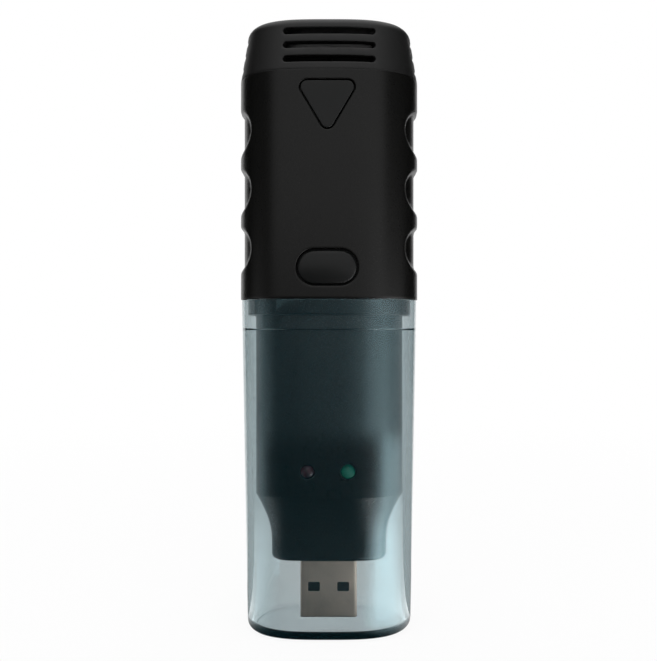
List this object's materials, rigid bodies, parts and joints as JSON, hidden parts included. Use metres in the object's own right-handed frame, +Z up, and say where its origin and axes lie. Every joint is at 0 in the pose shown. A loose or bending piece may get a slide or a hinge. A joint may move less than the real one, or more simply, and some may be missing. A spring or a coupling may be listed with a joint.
{
  "type": "temperature data logger",
  "caption": "Stick-shaped temperature data logger: black vented case with finger pockets and push keys, USB plug and lamps under a smoked clear pull-off cap.",
  "frame": {"origin": "middle of the flat end of the cap, on which the logger stands", "axes": "+Z up the stick from the cap to the vent head, -Y out of the front with the keys, +X to the right seen from the front"},
  "size_m": [0.0384, 0.028, 0.1279],
  "materials": {
    "case_black": "fine spark-eroded matte black",
    "head_black": "fine spark-eroded matte black",
    "key_black": "matte black, a little smoother than the case",
    "smoked_clear": "polished smoked clear polycarbonate",
    "switch_black": "plain moulded black",
    "board_black": "black satin solder mask",
    "battery_sleeve": "shrink sleeve over a steel can",
    "tinned": "bright tin",
    "nickel": "bright nickel plate on steel",
    "tongue_black": "moulded black insulator",
    "gold": "thin gold plate",
    "lens_red": "tinted clear resin",
    "lens_green": "tinted clear resin",
    "bead_resin": "dipped epoxy",
    "chip_black": "moulded epoxy",
    "can_metal": "drawn metal can",
    "ceramic_tan": "fired ceramic",
    "screw_steel": "zinc-plated steel"
  },
  "bodies": {
    "logger": {"front_case": "case_black", "rear_case": "case_black", "vent_head": "head_black", "start_switch": "switch_black", "mark_switch": "switch_black", "main_board": "board_black", "battery": "battery_sleeve", "battery_plus_contact": "tinned", "battery_minus_contact": "tinned", "usb_shell": "nickel", "usb_tongue": "tongue_black", "usb_contacts": "gold", "red_led": "lens_red", "green_led": "lens_green", "led_leads": "tinned", "temp_sensor": "bead_resin", "sensor_leads": "bead_resin", "microcontroller": "chip_black", "microcontroller_leads": "tinned", "memory_chip": "chip_black", "memory_leads": "tinned", "crystal": "can_metal", "chip_capacitors": "ceramic_tan", "case_screws": "screw_steel"},
    "cap": {"clear_cap": "smoked_clear"},
    "start_button": {"start_key": "key_black", "start_plunger": "switch_black"},
    "mark_button": {"mark_key": "key_black", "mark_plunger": "switch_black"}
  },
  "joints": [
    {"name": "cap_slide", "type": "slide", "parent": "logger", "child": "cap", "axis": [0, 0, -1], "range_m": [0, 0.07]},
    {"name": "start_press", "type": "slide", "parent": "logger", "child": "start_button", "axis": [0, 1, 0], "range_m": [0, 0.0005], "stiffness_N_per_m": 800},
    {"name": "mark_press", "type": "slide", "parent": "logger", "child": "mark_button", "axis": [0, 1, 0], "range_m": [0, 0.0005], "stiffness_N_per_m": 800}
  ]
}
